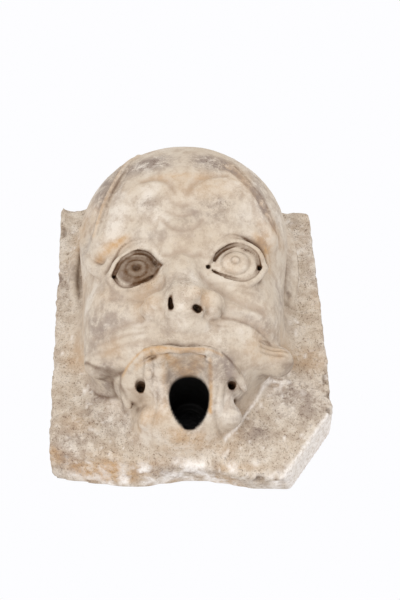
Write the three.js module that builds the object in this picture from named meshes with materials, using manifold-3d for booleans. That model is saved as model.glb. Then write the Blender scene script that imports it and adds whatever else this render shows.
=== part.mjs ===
// A carved marble fountain mask: a grotesque old man's head in high relief on a rough slab,
// made in one with it, with a water channel drilled through the slab behind the open mouth.
//
// The stone is carved here as a relief: x runs across to the viewer's right, y up the face and
// z out of the slab, in millimetres, with z = 0 on the flat back. The last lines set it upright.
import * as THREE from "three";
import { mergeVertices } from "three/addons/utils/BufferGeometryUtils.js";
import Module from "manifold-3d";

// Driving dimensions of the slab.
const SLAB_THICKNESS = 52;
const SLAB_LEFT = -200;
const SLAB_RIGHT = 199;
const SLAB_TOP = 235;
const SLAB_FOOT = -232;
const SLAB_WEAR = 7;
const CORNER_BREAK = [146, -216, SLAB_THICKNESS];
const BACK_SPARE = 9;

// The head: its middle, half width and the height of its forehead over the back of the slab.
const HEAD_X = -9;
const HEAD_HALF_WIDTH = 155;
const FOREHEAD_Z = 250;
const SKULL_DEPTH = 136;

// The water channel, seen from the front.
const CHANNEL_X = 1;
const CHANNEL_Y = -156;
const CHANNEL_RADIUS = 26;
const THROAT_LENGTH = 260;
const THROAT_DROP = 1.42;
const THROAT_POINT = 0.3;
const PIPE_DEPTH = 60;
const PIPE_RADIUS = 15;
const ROUND_SIDES = 28;

// Grid spacing of the carved surface, fine over the features and coarse over the slab's margins.
const FINE = 11;
const COARSE = 18;

// Shapes are distance fields: at(x, y, z) is the distance in millimetres, negative inside, and
// box is the region that the shape fills.

// An ellipsoid, turned by turn degrees in the plane of the slab and tipped by tip degrees
// about the line across the face.
function ellipsoid([cx, cy, cz], [rx, ry, rz], turn = 0, tip = 0) {
  const [t, p] = [THREE.MathUtils.degToRad(turn), THREE.MathUtils.degToRad(tip)];
  const [ct, st, cp, sp] = [Math.cos(t), Math.sin(t), Math.cos(p), Math.sin(p)];
  const reach = Math.max(rx, ry, rz);
  return {
    box: [cx - reach, cx + reach, cy - reach, cy + reach, cz - reach, cz + reach],
    at(x, y, z) {
      const [dx, dy, dz] = [x - cx, y - cy, z - cz];
      const across = dx * ct + dy * st;
      const up = dy * ct - dx * st;
      const [a, b, c] = [across / rx, (up * cp + dz * sp) / ry, (dz * cp - up * sp) / rz];
      const unit = Math.hypot(a, b, c);
      const slope = Math.hypot(a / rx, b / ry, c / rz);
      return slope < 1e-9 ? -Math.min(rx, ry, rz) : (unit * (unit - 1)) / slope;
    },
  };
}

// A roll of stone along a smooth line through points [x, y, z, radius].
function roll(points, steps = 4) {
  const line = new THREE.CatmullRomCurve3(points.map(([x, y, z]) => new THREE.Vector3(x, y, z)));
  const radii = new THREE.CatmullRomCurve3(points.map((p) => new THREE.Vector3(p[3], 0, 0)));
  const count = (points.length - 1) * steps;
  const beads = Array.from({ length: count + 1 }, (_, i) => {
    const p = line.getPoint(i / count);
    return [p.x, p.y, p.z, radii.getPoint(i / count).x];
  });
  const side = (k, sign) => sign * Math.max(...beads.map((b) => sign * b[k] + b[3]));
  return {
    box: [side(0, -1), side(0, 1), side(1, -1), side(1, 1), side(2, -1), side(2, 1)],
    at(x, y, z) {
      let nearest = Infinity;
      for (let i = 0; i < count; i++) {
        const [a, b] = [beads[i], beads[i + 1]];
        const [ex, ey, ez] = [b[0] - a[0], b[1] - a[1], b[2] - a[2]];
        const [px, py, pz] = [x - a[0], y - a[1], z - a[2]];
        const along = (px * ex + py * ey + pz * ez) / (ex * ex + ey * ey + ez * ez);
        const t = Math.min(1, Math.max(0, along));
        const d = Math.hypot(px - t * ex, py - t * ey, pz - t * ez) - a[3] - t * (b[3] - a[3]);
        nearest = Math.min(nearest, d);
      }
      return nearest;
    },
  };
}

// The half of space behind a plane through a point, whose normal points out of the stone.
function half([px, py, pz], [nx, ny, nz]) {
  const length = Math.hypot(nx, ny, nz);
  return (x, y, z) => ((x - px) * nx + (y - py) * ny + (z - pz) * nz) / length;
}

function softMin(a, b, soft) {
  const near = Math.max(soft - Math.abs(a - b), 0) / soft;
  return Math.min(a, b) - (near * near * soft) / 4;
}

function softMax(a, b, soft) {
  return -softMin(-a, -b, soft);
}

// The stone, as a list of additions and cuts that run into each other over soft millimetres.
class Carving {
  constructor(at) {
    this.start = at;
    this.steps = [];
  }
  add(shape, soft) {
    this.steps.push({ shape, soft, cut: false });
    return this;
  }
  cut(shape, soft) {
    this.steps.push({ shape, soft, cut: true });
    return this;
  }
  at(x, y, z) {
    let d = this.start(x, y, z);
    for (const { shape, soft, cut } of this.steps) {
      const [x0, x1, y0, y1, z0, z1] = shape.box;
      if (x < x0 - soft || x > x1 + soft || y < y0 - soft || y > y1 + soft) continue;
      if (z < z0 - soft || z > z1 + soft) continue;
      const s = shape.at(x, y, z);
      d = cut ? softMax(d, -s, soft) : softMin(d, s, soft);
    }
    return Math.max(d, -BACK_SPARE - z);
  }
  // The height of the surface over a point of the slab.
  height(x, y) {
    let z = 300;
    for (let i = 0; i < 60; i++) z -= 0.7 * this.at(x, y, z);
    return z;
  }
  // A roll laid on the surface as it is so far, along points [x, y], finer at its ends.
  laid(points, radius, lift) {
    return roll(points.map(([x, y], i) => {
      const full = 0.4 + 0.6 * Math.sin((Math.PI * i) / (points.length - 1));
      return [x, y, this.height(x, y) + lift(radius * full, full), radius * full];
    }));
  }
  // A ridge that stands out of the surface by rise.
  ridge(points, radius, rise, soft) {
    return this.add(this.laid(points, radius, (r, full) => rise * full - r), soft);
  }
  // A groove sunk into the surface by depth.
  groove(points, radius, depth, soft) {
    return this.cut(this.laid(points, radius, (r, full) => r - depth * full), soft);
  }
}

// The slab: straight sawn sides, a rough foot and a broken lower right corner.
function slab() {
  const planes = [
    half([SLAB_LEFT, 0, 0], [-1, -0.034, 0]),
    half([SLAB_RIGHT, 0, 0], [1, 0.035, 0]),
    half([0, SLAB_TOP, 0], [0.03, 1, 0.02]),
    half([0, SLAB_FOOT, 0], [-0.01, -0.95, -0.2]),
    half([-98, -211, SLAB_THICKNESS], [-0.132, -0.925, 0.356]),
    half([-190, -208, 26], [-0.62, -0.75, 0.2]),
    half(CORNER_BREAK, [0.82, -0.56, 0.14]),
    half([-207, 238, SLAB_THICKNESS], [-0.7, 0.6, 0.5]),
    half([190, 226, SLAB_THICKNESS], [0.7, 0.6, 0.4]),
    half([0, 0, SLAB_THICKNESS], [0, 0, 1]),
  ];
  return (x, y, z) => planes.map((p) => p(x, y, z)).reduce((a, b) => softMax(a, b, SLAB_WEAR));
}

// The masses of the head: skull, face, cheeks, jowls, muzzle and chin, and the worn hollow in the
// middle of the foot.
function masses(stone) {
  const skull = [HEAD_X, 114, FOREHEAD_Z - SKULL_DEPTH];
  stone
    .add(ellipsoid(skull, [HEAD_HALF_WIDTH, 151, SKULL_DEPTH]), 14)
    .add(ellipsoid([HEAD_X, -2, 86], [HEAD_HALF_WIDTH - 9, 150, 126]), 40)
    .add(ellipsoid([-82, -42, 140], [58, 66, 60]), 30)
    .add(ellipsoid([62, -36, 140], [58, 66, 60]), 30)
    .add(ellipsoid([-90, -74, 98], [54, 46, 62]), 20)
    .add(ellipsoid([70, -66, 100], [54, 46, 62]), 20)
    .add(ellipsoid([-6, -100, 108], [88, 58, 84]), 24)
    .add(ellipsoid([-8, -158, 46], [66, 52, 42]), 24)
    .cut(ellipsoid([8, -254, 0], [82, 32, 70]), 12);
}

// The scowl: two bulges that meet in a cleft over the nose, and the wrinkles between them.
function forehead(stone) {
  stone
    .add(ellipsoid([-62, 104, 196], [52, 34, 44], 18), 22)
    .add(ellipsoid([48, 112, 196], [56, 34, 44], -14), 22)
    .add(ellipsoid([-11, 42, 212], [34, 22, 32]), 16)
    .groove([[-66, 122], [-44, 126], [-29, 118], [-20, 98]], 8, 5, 6)
    .groove([[54, 138], [26, 130], [9, 118], [-2, 96]], 8, 5, 6)
    .add(ellipsoid([-96, 60, 180], [46, 34, 32], 20), 14)
    .add(ellipsoid([84, 74, 182], [42, 32, 30], -20), 14)
    .groove([[-31, 68], [-11, 60], [10, 67]], 7, 3, 6)
    .groove([[-36, 56], [-24, 41], [-9, 36], [8, 42], [19, 58]], 8, 4, 6);
}

// The hair line: a raised band down each temple with a sunk strip beside it.
function temples(stone) {
  stone
    .ridge([[-84, 180], [-108, 150], [-126, 116], [-138, 70]], 9, 6, 4)
    .groove([[-78, 170], [-98, 140], [-116, 108], [-126, 70]], 7, 3, 4)
    .groove([[58, 180], [86, 158], [106, 132], [116, 96]], 11, 5, 5)
    .ridge([[50, 168], [76, 146], [96, 118], [107, 84]], 7, 3, 4);
}

// One eye: a drilled hollow, the ball and the two lids.
function eye(stone, [x, y, z], turn) {
  const lean = Math.tan(THREE.MathUtils.degToRad(turn));
  const lid = (points, r) =>
    roll(points.map(([dx, dy, dz]) => [x + 1.16 * dx, y + 1.16 * dy + lean * dx, z + dz, r]), 5);
  stone
    .add(lid([[-35, -2, -7], [-26, 13, -2], [-4, 26, 0], [18, 20, -1], [34, 1, -7]], 6.5), 6)
    .add(lid([[-35, -2, -9], [-22, -18, -6], [2, -26, -6], [21, -18, -8], [34, 1, -9]], 5.5), 8)
    .cut(ellipsoid([x - 1, y, z + 14], [35, 27, 24], turn), 3)
    .add(ellipsoid([x - 1, y, z - 16], [30, 25, 20], turn), 2);
}

// The heavy folds of the brows; the left one hangs in a lobe beside the eye.
function brows(stone) {
  const left = [
    [-157, 110, 142, 5], [-150, 70, 156, 7], [-138, 28, 174, 9], [-122, 9, 184, 10], [-111, 13, 190, 8],
    [-103, 30, 197, 7], [-87, 41, 207, 7], [-66, 43, 214, 7], [-48, 32, 216, 6], [-36, 14, 212, 5],
  ];
  const right = [
    [27, 4, 208, 4], [33, 20, 212, 6], [47, 39, 215, 7], [67, 54, 215, 7], [88, 54, 206, 7],
    [103, 41, 193, 7], [109, 19, 184, 5],
  ];
  stone
    .add(roll(left), 7)
    .add(roll(right), 7)
    .cut(roll([[-162, 84, 144, 5], [-154, 40, 158, 5], [-143, 8, 168, 5], [-130, -8, 178, 4]]), 3);
}

// A broad, squashed nose with its tip knocked off, drilled nostrils and a fold on its bridge.
function nose(stone) {
  stone
    .add(roll([[-11, 14, 208, 20], [-9, -20, 212, 25], [-7, -50, 214, 27]]), 16)
    .add(ellipsoid([-6, -70, 222], [27, 25, 31]), 10)
    .add(ellipsoid([-40, -68, 204], [23, 20, 24], 14), 10)
    .add(ellipsoid([27, -65, 206], [22, 20, 26], -16), 9)
    .add(ellipsoid([-4, -94, 226], [13, 9, 15]), 6)
    .cut(ellipsoid([-2, -60, 266], [27, 27, 15], 0, -12), 5)
    .cut(roll([[-24, -94, 236, 5], [-24, -80, 216, 5]]), 2)
    .cut(roll([[13, -96, 240, 5], [14, -80, 220, 5]]), 2)
    .groove([[16, -46], [33, -50], [46, -66], [48, -84]], 5, 4, 3)
    .groove([[-34, 8], [-24, 2], [-10, 8], [6, 3], [16, 10]], 7, 4, 5);
}

// The bags under the eyes and the folds from the nose to the ends of the moustache.
function cheeks(stone) {
  stone
    .groove([[20, -28], [46, -44], [74, -54], [98, -56]], 13, 4, 9)
    .groove([[46, -76], [66, -74], [88, -76], [106, -80]], 9, 5, 5)
    .groove([[-34, -34], [-58, -44], [-84, -50], [-106, -46]], 13, 4, 9)
    .groove([[-62, -80], [-88, -82], [-112, -84], [-128, -84]], 12, 4, 8);
}

// Two drooping halves; the right one ends in a rounded lock and the left one is worn away.
function moustache(stone) {
  const left = [[-14, -100, 184, 15], [-50, -97, 168, 20], [-90, -100, 146, 22], [-124, -100, 118, 20]];
  const right = [[0, -100, 184, 15], [36, -97, 168, 20], [74, -98, 148, 21], [100, -98, 126, 18]];
  stone
    .add(roll(left), 12)
    .add(roll(right), 12)
    .add(ellipsoid([120, -95, 116], [26, 18, 30], -4), 7)
    .groove([[98, -94], [116, -92], [134, -88]], 5, 3, 3)
    .groove([[-134, -108], [-114, -116], [-90, -120]], 6, 4, 4);
}

// The mouth: an open shout, the curled upper lip, a wall to each side of the channel, the
// drilled corners and the bosses over the chin.
function mouth(stone) {
  const lip = [
    [-86, -150, 92, 5], [-92, -136, 112, 7], [-89, -128, 133, 7], [-67, -123, 167, 7], [-40, -124, 190, 7],
    [-8, -128, 194, 6], [24, -125, 189, 7], [51, -127, 164, 7], [69, -135, 134, 7], [76, -141, 118, 5],
  ];
  stone
    .cut(ellipsoid([-9, -152, 186], [64, 25, 52]), 8)
    .add(ellipsoid([-8, -160, 60], [66, 48, 62]), 12)
    .add(ellipsoid([-80, -126, 102], [24, 22, 36]), 10)
    .add(ellipsoid([56, -126, 104], [21, 20, 34]), 8)
    .cut(ellipsoid([1, -151, 160], [30, 24, 40]), 6)
    .cut(ellipsoid([-56, -138, 156], [20, 10, 20], 30), 6)
    .cut(ellipsoid([45, -138, 156], [18, 10, 20], -30), 6)
    .add(roll(lip), 4)
    .add(roll([[-34, -124, 178, 6], [-36, -138, 148, 9], [-35, -166, 104, 10]]), 8)
    .add(roll([[35, -124, 174, 6], [38, -138, 146, 9], [37, -166, 104, 10]]), 8)
    .add(ellipsoid([-55, -135, 144], [7, 10, 12], 8), 3)
    .add(ellipsoid([56, -128, 148], [16, 9, 14], 42), 4)
    .cut(roll([[-66, -148, 146, 8], [-66, -143, 96, 7]]), 2)
    .cut(roll([[60, -150, 146, 6], [59, -144, 100, 6]]), 2)
    .add(ellipsoid([56, -161, 92], [15, 16, 17]), 3)
    .groove([[41, -148], [38, -163], [45, -177], [60, -180]], 5, 4, 3)
    .add(ellipsoid([-54, -160, 94], [12, 20, 16], -24), 4);
}

// What is left of the ears: a narrow rim along each side of the head.
function ears(stone) {
  stone
    .add(roll([[-166, 176, 50, 5], [-178, 132, 54, 8], [-178, 80, 54, 8], [-168, 34, 50, 5]]), 4)
    .add(roll([[148, 206, 50, 5], [160, 150, 56, 8], [160, 90, 56, 8], [151, 42, 54, 7]]), 4);
}

function carve() {
  const stone = new Carving(slab());
  masses(stone);
  forehead(stone);
  temples(stone);
  brows(stone);
  eye(stone, [-69, -7, 210], 4);
  eye(stone, [64, 6, 212], 14);
  nose(stone);
  cheeks(stone);
  moustache(stone);
  mouth(stone);
  ears(stone);
  return stone;
}

// Grid lines from the first stop to the last, [place, step, place, step, ..., place].
function gridLines(stops) {
  const lines = [stops[0]];
  for (let i = 0; i + 2 < stops.length; i += 2) {
    const [from, step, to] = [stops[i], stops[i + 1], stops[i + 2]];
    const count = Math.max(1, Math.round((to - from) / step));
    for (let k = 1; k <= count; k++) lines.push(from + ((to - from) * k) / count);
  }
  return lines;
}

// Where two grid points across a square are inside and the other two outside, the surface would
// touch itself along an edge, so the fainter of the two outer points is filled in.
function settle(field, index, [nx, ny, nz]) {
  const squares = [[1, 0, 0, 0, 1, 0], [1, 0, 0, 0, 0, 1], [0, 1, 0, 0, 0, 1]];
  let left = 1;
  while (left) {
    left = 0;
    for (let i = 0; i < nx - 1; i++)
      for (let j = 0; j < ny - 1; j++)
        for (let k = 0; k < nz - 1; k++)
          for (const [a, b, c, d, e, f] of squares) {
            const four = [
              index(i, j, k), index(i + a, j + b, k + c),
              index(i + a + d, j + b + e, k + c + f), index(i + d, j + e, k + f),
            ];
            const inside = four.map((n) => field[n] < 0);
            if (inside[0] !== inside[2] || inside[1] !== inside[3] || inside[0] === inside[1]) continue;
            const outer = four.filter((n) => field[n] >= 0);
            field[field[outer[0]] < field[outer[1]] ? outer[0] : outer[1]] = -1e-3;
            left++;
          }
  }
}

// Hollows that the coarse grid seals off inside the stone are filled.
function fillHollows(field, index, [nx, ny, nz]) {
  const open = new Uint8Array(field.length);
  const queue = [[0, 0, 0]];
  open[0] = 1;
  while (queue.length) {
    const [i, j, k] = queue.pop();
    for (const [a, b, c] of [[1, 0, 0], [-1, 0, 0], [0, 1, 0], [0, -1, 0], [0, 0, 1], [0, 0, -1]]) {
      const [x, y, z] = [i + a, j + b, k + c];
      if (x < 0 || y < 0 || z < 0 || x >= nx || y >= ny || z >= nz) continue;
      const n = index(x, y, z);
      if (open[n] || field[n] < 0) continue;
      open[n] = 1;
      queue.push([x, y, z]);
    }
  }
  for (let n = 0; n < field.length; n++) if (!open[n] && field[n] >= 0) field[n] = -1e-3;
}

// The surface where the stone's field is zero, with one point in each grid cell that it crosses.
function skin(stone, xs, ys, zs) {
  const [nx, ny, nz] = [xs.length, ys.length, zs.length];
  const index = (i, j, k) => (i * ny + j) * nz + k;
  const field = new Float64Array(nx * ny * nz);
  for (let i = 0; i < nx; i++)
    for (let j = 0; j < ny; j++)
      for (let k = 0; k < nz; k++) field[index(i, j, k)] = stone.at(xs[i], ys[j], zs[k]);
  settle(field, index, [nx, ny, nz]);
  fillHollows(field, index, [nx, ny, nz]);
  const corner = [...Array(8).keys()].map((c) => [c & 1, (c >> 1) & 1, c >> 2]);
  const edges = [];
  for (let a = 0; a < 8; a++) for (const bit of [1, 2, 4]) if (!(a & bit)) edges.push([a, a | bit]);
  const positions = [];
  const points = new Map();
  for (let i = 0; i < nx - 1; i++)
    for (let j = 0; j < ny - 1; j++)
      for (let k = 0; k < nz - 1; k++) {
        const value = corner.map(([a, b, c]) => field[index(i + a, j + b, k + c)]);
        if (value.every((v) => v < 0) || value.every((v) => v >= 0)) continue;
        const place = corner.map(([a, b, c]) => [xs[i + a], ys[j + b], zs[k + c]]);
        const sum = [0, 0, 0];
        let crossings = 0;
        for (const [a, b] of edges) {
          if (value[a] < 0 === value[b] < 0) continue;
          const t = value[a] / (value[a] - value[b]);
          for (let n = 0; n < 3; n++) sum[n] += place[a][n] + t * (place[b][n] - place[a][n]);
          crossings++;
        }
        points.set(index(i, j, k), positions.length / 3);
        positions.push(...sum.map((s) => s / crossings));
      }
  const triangles = [];
  const quad = (a, b, c, d, flip) => {
    const [p, q, r, s] = [a, b, c, d].map((n) => points.get(n));
    triangles.push(...(flip ? [p, r, q, p, s, r] : [p, q, r, p, r, s]));
  };
  for (let i = 1; i < nx - 1; i++)
    for (let j = 1; j < ny - 1; j++)
      for (let k = 1; k < nz - 1; k++) {
        const here = field[index(i, j, k)] < 0;
        const cell = (a, b, c) => index(i - a, j - b, k - c);
        if (here !== field[index(i + 1, j, k)] < 0)
          quad(cell(0, 1, 1), cell(0, 0, 1), cell(0, 0, 0), cell(0, 1, 0), !here);
        if (here !== field[index(i, j + 1, k)] < 0)
          quad(cell(1, 0, 1), cell(1, 0, 0), cell(0, 0, 0), cell(0, 0, 1), !here);
        if (here !== field[index(i, j, k + 1)] < 0)
          quad(cell(1, 1, 0), cell(0, 1, 0), cell(0, 0, 0), cell(1, 0, 0), !here);
      }
  const geometry = new THREE.BufferGeometry();
  geometry.setAttribute("position", new THREE.Float32BufferAttribute(positions, 3));
  geometry.setIndex(triangles);
  return geometry;
}

const wasm = await Module();
wasm.setup();

// A closed geometry as a solid that can be cut and joined.
function solid(geometry) {
  const bare = geometry.clone();
  bare.deleteAttribute("normal");
  bare.deleteAttribute("uv");
  const merged = mergeVertices(bare, 1e-3);
  return new wasm.Manifold(
    new wasm.Mesh({
      numProp: 3,
      vertProperties: merged.attributes.position.array,
      triVerts: new Uint32Array(merged.index.array),
    }),
  );
}

function geometryOf(made) {
  const mesh = made.getMesh();
  const geometry = new THREE.BufferGeometry();
  geometry.setAttribute("position", new THREE.BufferAttribute(mesh.vertProperties, 3));
  geometry.setIndex(new THREE.BufferAttribute(mesh.triVerts, 1));
  return geometry.toNonIndexed();
}

// Everything behind the back of the slab is sawn off flat.
function backCut() {
  return new THREE.BoxGeometry(600, 700, 100).translate(0, 0, -50);
}

// The channel: an egg-shaped throat behind the lips, pointed below, and the round pipe hole.
function channel() {
  const throat = new THREE.CylinderGeometry(CHANNEL_RADIUS, CHANNEL_RADIUS, THROAT_LENGTH, ROUND_SIDES)
    .rotateX(Math.PI / 2);
  const place = throat.attributes.position;
  for (let i = 0; i < place.count; i++) {
    const down = Math.max(0, -place.getY(i) / CHANNEL_RADIUS);
    place.setX(i, place.getX(i) * (1 - THROAT_POINT * down * down));
    if (down > 0) place.setY(i, place.getY(i) * THROAT_DROP);
  }
  throat.translate(CHANNEL_X, CHANNEL_Y, PIPE_DEPTH + THROAT_LENGTH / 2);
  const pipe = new THREE.CylinderGeometry(PIPE_RADIUS, PIPE_RADIUS, PIPE_DEPTH * 3, ROUND_SIDES)
    .rotateX(Math.PI / 2)
    .translate(CHANNEL_X, CHANNEL_Y, 0);
  return solid(throat).add(solid(pipe));
}

const xs = gridLines([-235, COARSE, -170, FINE, 150, COARSE, 235]);
const ys = gridLines([-290, COARSE, -224, FINE, 110, FINE, 290]);
const zs = gridLines([-34, COARSE, 38, FINE, 262, FINE, 290]);
const relief = solid(skin(carve(), xs, ys, zs));
const stone = relief.subtract(solid(backCut())).subtract(channel());

const marble = new THREE.MeshStandardMaterial({ color: 0xcfc3ae, roughness: 0.75, metalness: 0 });
const mask = new THREE.Mesh(geometryOf(stone), marble);
mask.name = "marble_mask";

const fountainMask = new THREE.Group();
fountainMask.add(mask);
fountainMask.rotation.x = Math.PI / 2;

export default fountainMask;
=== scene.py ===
"""A carved marble fountain mask: an old man's scowling head in high relief on a rough slab.

The stone is carved as a relief, in millimetres: x runs to the viewer's right, y up the face and
z out of the slab, with z = 0 on the flat back. It is set upright, in metres, at the very end.
"""

import math

import bmesh
import bpy
import numpy as np
from mathutils import Matrix, Vector


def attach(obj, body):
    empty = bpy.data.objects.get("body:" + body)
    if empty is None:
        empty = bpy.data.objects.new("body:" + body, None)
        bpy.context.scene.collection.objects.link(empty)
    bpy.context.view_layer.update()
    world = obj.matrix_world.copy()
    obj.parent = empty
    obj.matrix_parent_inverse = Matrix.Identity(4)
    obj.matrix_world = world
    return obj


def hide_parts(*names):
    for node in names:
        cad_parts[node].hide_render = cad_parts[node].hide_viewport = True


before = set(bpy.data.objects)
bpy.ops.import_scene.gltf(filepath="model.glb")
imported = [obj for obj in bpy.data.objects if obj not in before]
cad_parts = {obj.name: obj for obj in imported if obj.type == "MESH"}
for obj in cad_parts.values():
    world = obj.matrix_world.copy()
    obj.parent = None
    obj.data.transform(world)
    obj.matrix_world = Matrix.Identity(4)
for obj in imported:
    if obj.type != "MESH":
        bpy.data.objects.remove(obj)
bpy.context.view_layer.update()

bl_info = {
    "name": "Fountain mask",
    "version": (1, 0, 0),
    "blender": (4, 5, 0),
    "location": "3D View > Sidebar > Fountain mask",
    "description": "Carves a weathered marble fountain mask and sets up its studio",
    "category": "Add Mesh",
}

NODE = "marble_mask"
MM = 0.001
# The pattern of random values repeats after this many of its own sizes.
LATTICE = 32
# Looks painted on each vertex; hollow and dust are painted shade as well as dirt and dust, and the
# channel's look is painted shade.
LOOKS = ("dust", "rough", "ochre", "grey", "hollow", "fresh", "channel_shade")
COLOUR_NAMES = ("pale", "warm", "dun", "ochre", "grey", "dirt_and_shade", "fresh", "channel_shade")

SLAB_THICKNESS = 52.0
SLAB_LEFT = -200.0
SLAB_RIGHT = 199.0
SLAB_TOP = 235.0
SLAB_FOOT = -232.0
# How softly the faces of the slab run into each other.
SLAB_WEAR = 5.0
# The roughness of the surface fades out over this height above the sawn back.
SAWN_BACK = 6.0
# A point on the broken corner's face, and the way that the face looks.
CORNER_BREAK = (146.0, -216.0, SLAB_THICKNESS)
CORNER_NORMAL = (0.82, -0.56, 0.14)

HEAD_X = -9.0
HEAD_HALF_WIDTH = 155.0
JAW_INSET = 9.0
FOREHEAD_Z = 250.0
SKULL_DEPTH = 136.0

CHANNEL_X = 1.0
CHANNEL_Y = -156.0
CHANNEL_RADIUS = 26.0
THROAT_DROP = 1.42
THROAT_POINT = 0.3
PIPE_RADIUS = 15.0
PIPE_DEPTH = 60.0
# How far over its edge the inside of the channel is painted near black as shade, and up to which height.
CHANNEL_SHADE_MARGIN = 2.5
CHANNEL_SHADE_BELOW = 138.0

EDGE_CHIPS = 46
FOOT_CHIPS = 30

# Grid lines away from the eyes, nose and mouth lie this many times as far apart as there.
BETWEEN_STEPS = 1.6
WIDE_STEPS = 2.0
# Vertices this near to the back's plane, in metres, belong to the back.
BACK_TOLERANCE = 0.2 * MM

# The camera stands below the chin and looks up, as in the photograph: its place in metres, and
# its lens and sensor in millimetres.
CAMERA_PLACE = (0.0156, -1.3894, -0.8993)
CAMERA_AHEAD = (0, 0.8141, 0.5807)
CAMERA_UP = (0, -0.5807, 0.8141)
CAMERA_LENS = 65.16
CAMERA_SENSOR = 36.0
# Soft boxes: name, place and size in metres, and power in watts.
SOFTBOXES = [
    ("key_softbox", (1.2, -1.4, 0.3), 0.5, 4.5),
    ("fill_softbox", (-0.5, -1.5, -0.95), 0.7, 11.5),
]
FLOOR_REACH = 40.0
PAPER_ROUGHNESS = 0.9

# The grain of the stone's skin: size in millimetres, detail and roughness of the pattern. Its
# crystals are finer than a millimetre, so the grit is drawn a little coarser than that to show.
GRAINS = [
    ("cloud", 70, 5.0, 0.6),
    ("mottle", 16, 8.0, 0.72),
    ("speckle", 5, 6.0, 0.75),
    ("dust", 2.2, 4.0, 0.7),
    ("grit", 1.3, 3.0, 0.6),
]
# Grains that also give fine relief: depth in millimetres and strength where the stone is rough,
# and the share of that strength where it is smooth.
PITTING = [("mottle", 3.0, 0.35), ("speckle", 1.6, 0.5), ("grit", 0.6, 0.3)]
SMOOTH_SHARE = 0.25
# Marble's index of refraction, the little sheen that weathering leaves on it, and its roughness
# on the worn face and on the picked slab.
MARBLE_IOR = 1.5
MARBLE_SHEEN = 0.12
ROUGHNESS_WORN = 0.6
ROUGHNESS_PICKED = 0.9
# Layers of colour, from the bottom up: colour, where it is painted, and the grain with its range
# and the shares that it gives. The dirt layer over the hollows is painted shade as well as dirt, the
# dun layer over the dust is painted shade as well as dust, and the channel's layer is painted shade.
LAYERS = [
    ("warm", None, "cloud", 0.36, 0.66, 0.0, 1.0),
    ("fresh", None, "cloud", 0.34, 0.46, 0.22, 0.0),
    ("dun", None, "mottle", 0.48, 0.62, 0.0, 0.6),
    ("dun", "dust", "cloud", 0.3, 0.6, 0.7, 1.0),
    ("ochre", "ochre", "mottle", 0.36, 0.6, 0.4, 1.0),
    ("grey", "grey", "mottle", 0.43, 0.53, 0.1, 0.9),
    ("grey", "grey", "speckle", 0.44, 0.54, 0.0, 0.6),
    ("dirt_and_shade", "rough", "speckle", 0.58, 0.65, 0.0, 0.7),
    ("dirt_and_shade", "rough", "dust", 0.56, 0.62, 0.0, 0.6),
    ("fresh", "rough", "mottle", 0.38, 0.5, 0.2, 0.0),
    ("dirt_and_shade", "hollow", "mottle", 0.3, 0.6, 0.75, 1.0),
    ("fresh", "fresh", "speckle", 0.36, 0.56, 0.3, 1.0),
    ("channel_shade", "channel_shade", "cloud", 0.0, 0.1, 1.0, 1.0),
]
# The colour sockets of a mix node, among its sockets of other kinds.
MIX_BELOW = 6
MIX_ABOVE = 7
MIX_RESULT = 2
# Soft patches over the surface: (centre x, y), (radii) and strength.
OCHRE_STAINS = [
    ((-106, 36), (24, 13), 0.5), ((104, 40), (15, 20), 0.6), ((-50, -123), (17, 6), 0.5),
    ((-112, -36), (20, 15), 0.3), ((0, -202), (46, 10), 0.4), ((-80, -222), (60, 8), 0.7),
    ((60, -226), (50, 8), 0.4), ((-158, -160), (26, 22), 0.4), ((124, -96), (16, 10), 0.4),
    ((-16, 128), (50, 8), 0.4), ((20, -70), (18, 20), 0.4), ((-50, -176), (30, 12), 0.4),
]
# Grey patches of lichen and dust; the one under the left moustache, at (-112, -118), is painted shade.
GREY_PATCHES = [
    ((-63, 164), (34, 20), 1.5), ((36, 166), (34, 20), 1.5), ((-122, 150), (12, 50), 0.9),
    ((104, 116), (12, 40), 0.7), ((-112, -118), (22, 5), 0.6), ((-120, -88), (26, 18), 0.5),
    ((-165, -190), (40, 44), 0.4), ((-28, -50), (16, 20), 0.4), ((170, -120), (36, 50), 0.6),
    ((-54, 82), (20, 14), 0.4), ((42, 86), (20, 14), 0.4), ((55, -133), (9, 13), 1.5),
    ((90, -170), (30, 24), 0.5),
]
ROUGH_PATCHES = [
    ((-63, 164), (32, 18), 1.1), ((36, 166), (32, 18), 1.1), ((-4, -62), (22, 26), 0.6),
    ((-54, 80), (20, 14), 0.5), ((42, 84), (20, 14), 0.5), ((-52, -26), (18, 12), 0.4),
    ((0, -206), (120, 14), 0.6),
]
# The way that a drill goes in, from in front and below.
DRILL = np.array([0.0, 0.58, -0.81])
# An eye: its middle, the edges of its opening as (x, y, z) from the middle, and its iris ring.
LEFT_EYE = {
    "middle": (-71, -6, 210), "turn": 9, "iris": 15.0,
    "upper": [(-31, -8, -6), (-20, 14, 0), (-1, 26, 2), (18, 21, 1), (35, -1, -5)],
    "lower": [(-31, -8, -6), (-22, -23, -4), (-10, -27, -4), (15, -17, -3), (35, -1, -5)],
}
RIGHT_EYE = {
    "middle": (64, 4, 212), "turn": 2, "iris": 19.5,
    "upper": [(-38, -10, -4), (-21, 17, 0), (4, 28, 2), (26, 16, 0), (33, -5, -5)],
    "lower": [(-38, -10, -4), (-19, -20, -3), (8, -27, -4), (25, -19, -5), (33, -5, -5)],
}
REPAIR_SEAM = [(134, -92), (118, -94), (106, -106), (94, -126), (80, -145), (66, -168), (50, -188)]
# The dark ball of the left eye: its middle and radii across the face.
DARK_BALL = ((-69, -7), (32, 25))
# Heights above this are the front of the face.
FACE_FRONT = 150.0
# How shut in a place is where the painted shade in the hollows, with the dust and dirt, starts, and how
# fast it builds up.
SHADE_AND_DUST_GATHER = (0.18, 1.5)
SHADE_AND_DIRT_GATHER = (0.40, 2.0)
BACK_ROUGH = 0.5
# Ranges of height that a painted line keeps to.
ANY = (0, 300)
NOSE = (212, 300)
DEEP = (0, 128)
SLAB_FACE = (0, 76)
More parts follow.
